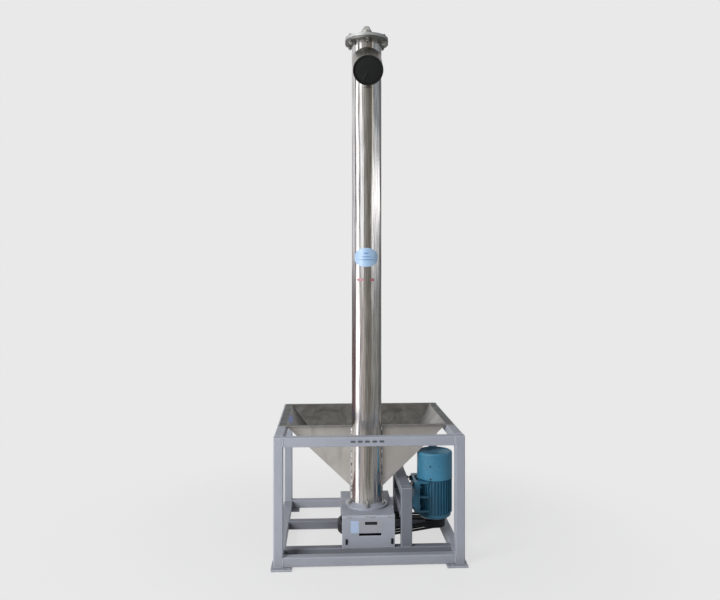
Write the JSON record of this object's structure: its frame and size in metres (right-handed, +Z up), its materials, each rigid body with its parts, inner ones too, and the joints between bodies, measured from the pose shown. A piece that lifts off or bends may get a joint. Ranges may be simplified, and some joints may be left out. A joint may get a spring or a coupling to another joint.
{
  "type": "vertical screw conveyor",
  "caption": "Upright screw conveyor on a square-tube stand: sheet hopper, tall polished tube with inclined spout, belt drive and upright motor.",
  "frame": {"origin": "On the floor under the middle of the stand.", "axes": "+Z up along the conveying tube, the front with the discharge spout faces -Y, +X is the side with the motor as seen from the front."},
  "size_m": [1.024, 1.06, 2.923],
  "materials": {
    "frame_paint": "satin grey enamel on square steel tube",
    "brushed_stainless": "brushed stainless sheet",
    "polished_stainless": "mirror-polished stainless tube",
    "machined_stainless": "turned stainless flange",
    "bearing_steel": "cast bearing housing",
    "screw_steel": "worn stainless screw",
    "pulley_iron": "cast iron pulley",
    "belt_rubber": "black belt rubber",
    "sleeve_rubber": "black rubber sleeve",
    "motor_paint": "teal-blue motor enamel",
    "cowl_paint": "lighter blue enamel on the pressed cowl"
  },
  "bodies": {
    "stand": {"front_left_leg": "frame_paint", "front_right_leg": "frame_paint", "back_left_leg": "frame_paint", "back_right_leg": "frame_paint", "front_top_rail": "frame_paint", "back_top_rail": "frame_paint", "left_top_rail": "frame_paint", "right_top_rail": "frame_paint", "front_bottom_rail": "frame_paint", "back_bottom_rail": "frame_paint", "left_bottom_rail": "frame_paint", "right_bottom_rail": "frame_paint", "cross_rails": "frame_paint", "foot_plates": "frame_paint", "housing_top_plate": "frame_paint", "housing_front_panel": "frame_paint", "housing_back_panel": "frame_paint", "tube_base_flange": "frame_paint", "bracket_posts": "frame_paint", "bracket_top_rail": "frame_paint", "bracket_lower_rail": "frame_paint", "tension_rods": "frame_paint", "hopper_left_wall": "brushed_stainless", "hopper_right_wall": "brushed_stainless", "hopper_back_wall": "brushed_stainless", "hopper_front_left_panel": "brushed_stainless", "hopper_front_right_panel": "brushed_stainless", "hopper_neck": "brushed_stainless", "conveyor_tube": "polished_stainless", "discharge_spout": "polished_stainless", "tube_top_flange": "machined_stainless", "top_cover_plate": "machined_stainless", "top_bearing": "bearing_steel", "lower_bearing": "bearing_steel", "v_belts": "belt_rubber", "spout_liner": "sleeve_rubber", "motor_body": "motor_paint", "terminal_box": "motor_paint", "motor_mount_plate": "motor_paint", "motor_fan_cowl": "cowl_paint"},
    "screw": {"screw_shaft": "screw_steel", "inlet_flight": "screw_steel", "screw_flight": "screw_steel", "driven_pulley": "pulley_iron"},
    "motor_rotor": {"motor_pulley": "pulley_iron"}
  },
  "joints": [
    {"name": "screw_spin", "type": "hinge", "parent": "stand", "child": "screw", "pos_m": [0, -0.195, 1.5], "axis": [0, 0, 1], "continuous": true},
    {"name": "motor_spin", "type": "hinge", "parent": "stand", "child": "motor_rotor", "pos_m": [0.392, -0.15, 0.12], "axis": [0, 0, 1], "continuous": true}
  ],
  "couplings": [
    {"joint": "motor_spin", "follows": "screw_spin", "ratio": 2.8393}
  ]
}
